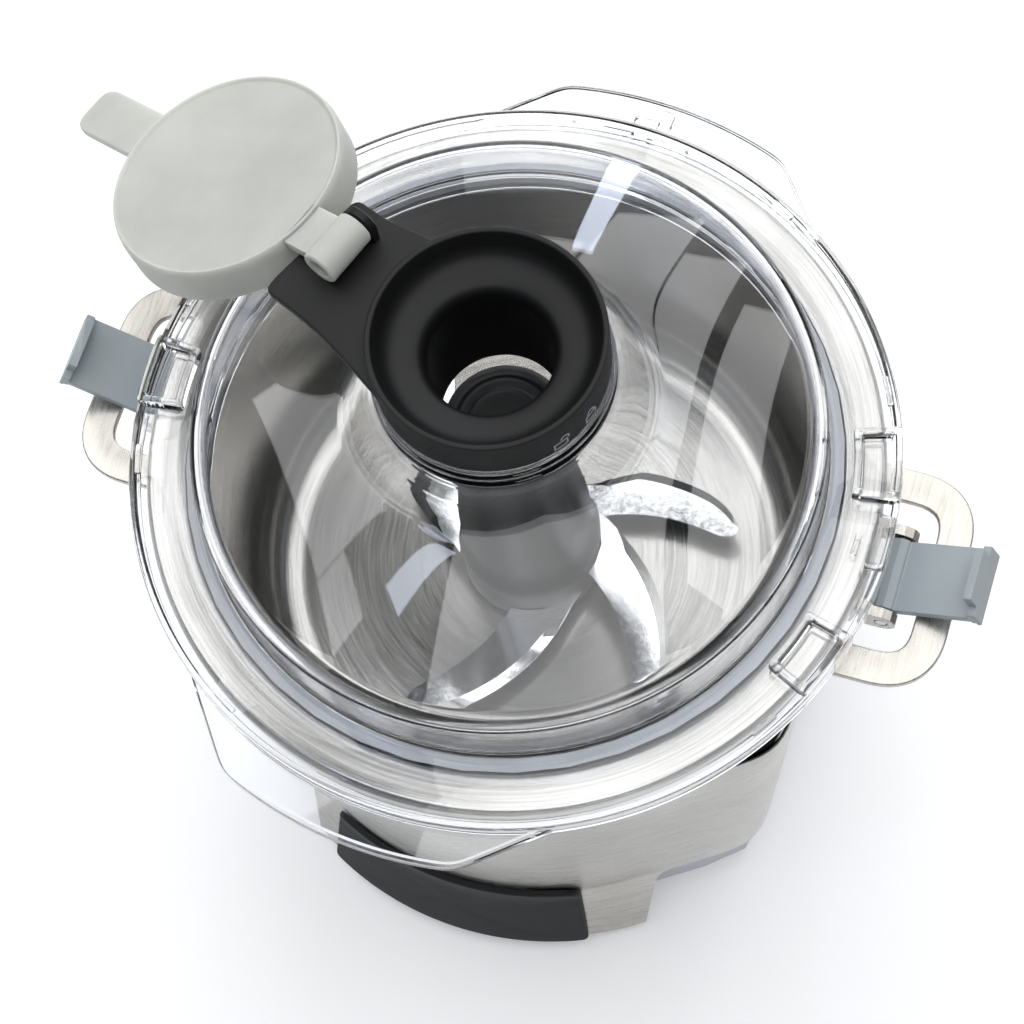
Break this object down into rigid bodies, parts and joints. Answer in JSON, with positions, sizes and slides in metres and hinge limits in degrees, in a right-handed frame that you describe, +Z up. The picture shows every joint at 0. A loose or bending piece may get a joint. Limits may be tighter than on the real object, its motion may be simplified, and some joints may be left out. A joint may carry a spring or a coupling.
{
  "type": "food processor",
  "caption": "Food processor with a steel-clad base, a lift-out steel bowl, clear lid, hinged feed cap, side clips and a winged blade.",
  "frame": {"origin": "centre of the footprint on the table, under the bounding box of the whole assembly at rest", "axes": "+Z up along the blade's shaft, -Y towards the front panel, +X towards the right-hand clip"},
  "size_m": [0.3234, 0.282, 0.3074],
  "materials": {
    "brushed_steel": "fine brushed stainless steel",
    "polished_steel": "polished stainless steel",
    "grey_plastic": "light grey moulded plastic",
    "black_plastic": "black moulded plastic, fine satin grain",
    "clip_plastic": "mid grey moulded plastic",
    "clear_plastic": "clear moulded plastic, glossy",
    "silicone": "milky translucent silicone, satin",
    "rubber": "dark grey rubber, matte",
    "copper": "varnished copper winding on a steel stack",
    "steel_hardware": "plain machined steel",
    "aluminium": "cast aluminium, as cast",
    "board": "green circuit board lacquer"
  },
  "bodies": {
    "base": {"jacket": "brushed_steel", "base_tray": "grey_plastic", "foot_1": "rubber", "foot_2": "rubber", "foot_3": "rubber", "foot_4": "rubber", "tray_screw_1": "steel_hardware", "tray_screw_2": "steel_hardware", "tray_screw_3": "steel_hardware", "tray_screw_4": "steel_hardware", "front_panel": "black_plastic", "bowl_well": "black_plastic", "bowl_connector": "grey_plastic", "temperature_probe": "polished_steel", "mains_inlet": "black_plastic", "switch_frame": "black_plastic", "lower_motor_frame": "aluminium", "upper_motor_frame": "aluminium", "lower_bearing": "polished_steel", "upper_bearing": "polished_steel", "motor_stator": "copper", "control_board": "board", "power_board": "board"},
    "rocker": {"rocker_key": "black_plastic"},
    "motor": {"motor_rotor": "steel_hardware", "motor_shaft": "polished_steel", "cooling_fan": "grey_plastic", "drive_coupling": "grey_plastic"},
    "bowl": {"bowl": "brushed_steel", "bowl_base": "black_plastic", "heating_disc": "aluminium", "spindle_bush": "polished_steel", "spindle_seal": "rubber", "left_handle": "brushed_steel", "right_handle": "brushed_steel", "left_bracket": "brushed_steel", "right_bracket": "brushed_steel", "left_clip_pin": "polished_steel", "right_clip_pin": "polished_steel"},
    "blade": {"blade_hub": "black_plastic", "blade_wing_1": "polished_steel", "blade_wing_2": "polished_steel", "blade_wing_3": "polished_steel", "blade_wing_4": "polished_steel", "driven_coupling": "grey_plastic", "drive_spindle": "polished_steel"},
    "left_clip": {"left_clip": "clip_plastic"},
    "right_clip": {"right_clip": "clip_plastic"},
    "lid": {"lid": "clear_plastic", "lid_gasket": "silicone"},
    "funnel": {"funnel": "black_plastic", "funnel_gasket": "silicone"},
    "cap": {"cap": "silicone"}
  },
  "joints": [
    {"name": "bowl_lift", "type": "slide", "parent": "base", "child": "bowl", "axis": [0, 0, 1], "range_m": [0, 0.09]},
    {"name": "lid_lift", "type": "slide", "parent": "bowl", "child": "lid", "axis": [0, 0, 1], "range_m": [0, 0.05]},
    {"name": "funnel_turn", "type": "hinge", "parent": "lid", "child": "funnel", "pos_m": [0, 0, 0.29], "axis": [0, 0, 1], "range_deg": [-40, 0]},
    {"name": "cap_flip", "type": "hinge", "parent": "funnel", "child": "cap", "pos_m": [-0.05058, 0.01891, 0.3014], "axis": [0.3502, 0.9367, 0], "range_deg": [0, 198]},
    {"name": "right_clip_swing", "type": "hinge", "parent": "bowl", "child": "right_clip", "pos_m": [0.13, 0, 0.1853], "axis": [0, -1, 0], "range_deg": [0, 65]},
    {"name": "left_clip_swing", "type": "hinge", "parent": "bowl", "child": "left_clip", "pos_m": [-0.13, 0, 0.1853], "axis": [0, 1, 0], "range_deg": [0, 65]},
    {"name": "motor_spin", "type": "hinge", "parent": "base", "child": "motor", "pos_m": [0, 0, 0.09], "axis": [0, 0, 1], "continuous": true},
    {"name": "blade_spin", "type": "hinge", "parent": "bowl", "child": "blade", "pos_m": [0, 0, 0.15], "axis": [0, 0, 1], "continuous": true},
    {"name": "rocker_rock", "type": "hinge", "parent": "base", "child": "rocker", "pos_m": [0.028, 0.1041, 0.074], "axis": [1, 0, 0], "range_deg": [0, 10]}
  ],
  "couplings": [
    {"joint": "blade_spin", "follows": "motor_spin", "ratio": 1}
  ]
}
